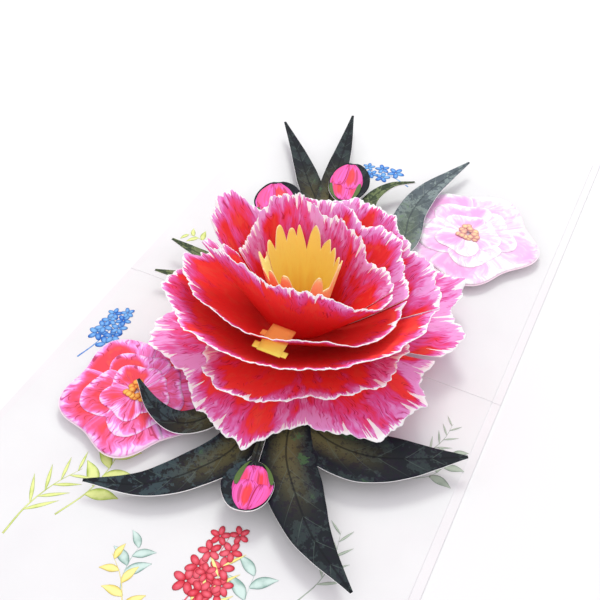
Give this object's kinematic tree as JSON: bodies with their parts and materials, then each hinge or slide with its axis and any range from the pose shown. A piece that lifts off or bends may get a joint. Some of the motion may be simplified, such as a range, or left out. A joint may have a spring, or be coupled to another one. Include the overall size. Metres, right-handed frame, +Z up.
{
  "type": "pop-up flower card",
  "caption": "Open greeting card whose printed pages carry a raised, layered paper peony with leaves, buds and side blossoms that fold flat as the card closes.",
  "frame": {"origin": "under the middle of the spine fold, on the underside that rests on the table", "axes": "+X along the spine fold, +Y across it to the far page, +Z up out of the open card"},
  "size_m": [0.15, 0.3, 0.0466],
  "materials": {
    "blossom_paper": "printed card, soft pink petals",
    "bud_paper": "printed card, pink bud in a green calyx",
    "cover_board": "uncoated white card, slight tooth",
    "leaf_paper": "dark green printed card with veins, white cut edge",
    "petal_paper": "printed card, red at the base to pink and white at the edges, white cut edge",
    "printed_paper": "white paper with a watercolour-like print",
    "stamen_paper": "yellow-orange card",
    "strap_paper": "yellow card",
    "white_paper": "plain white card"
  },
  "bodies": {
    "root": {"blossom_pad_left": "white_paper", "blossom_pad_right": "white_paper", "bud_back": "bud_paper", "bud_back_left": "bud_paper", "bud_front": "bud_paper", "cover_card": "cover_board", "deck_far": "white_paper", "deck_near": "white_paper", "leaf_back_arched": "leaf_paper", "leaf_back_left": "leaf_paper", "leaf_back_middle": "leaf_paper", "leaf_back_right": "leaf_paper", "leaf_front_left": "leaf_paper", "leaf_left": "leaf_paper", "leaf_left_lower": "leaf_paper", "leaf_left_upper": "leaf_paper", "leaf_pair_front": "leaf_paper", "lock_strap_far": "strap_paper", "lock_strap_near": "strap_paper", "petal_layer_1_far": "petal_paper", "petal_layer_1_near": "petal_paper", "petal_layer_2_far": "petal_paper", "petal_layer_2_near": "petal_paper", "petal_layer_3_far": "petal_paper", "petal_layer_3_near": "petal_paper", "petal_layer_4_far": "petal_paper", "petal_layer_4_near": "petal_paper", "petal_layer_5_far": "petal_paper", "petal_layer_5_near": "petal_paper", "printed_sheet": "printed_paper", "side_blossom_left": "blossom_paper", "side_blossom_right": "blossom_paper", "stamens_far": "stamen_paper", "stamens_near": "stamen_paper", "support_box_far": "white_paper", "support_box_near": "white_paper"}
  },
  "joints": []
}
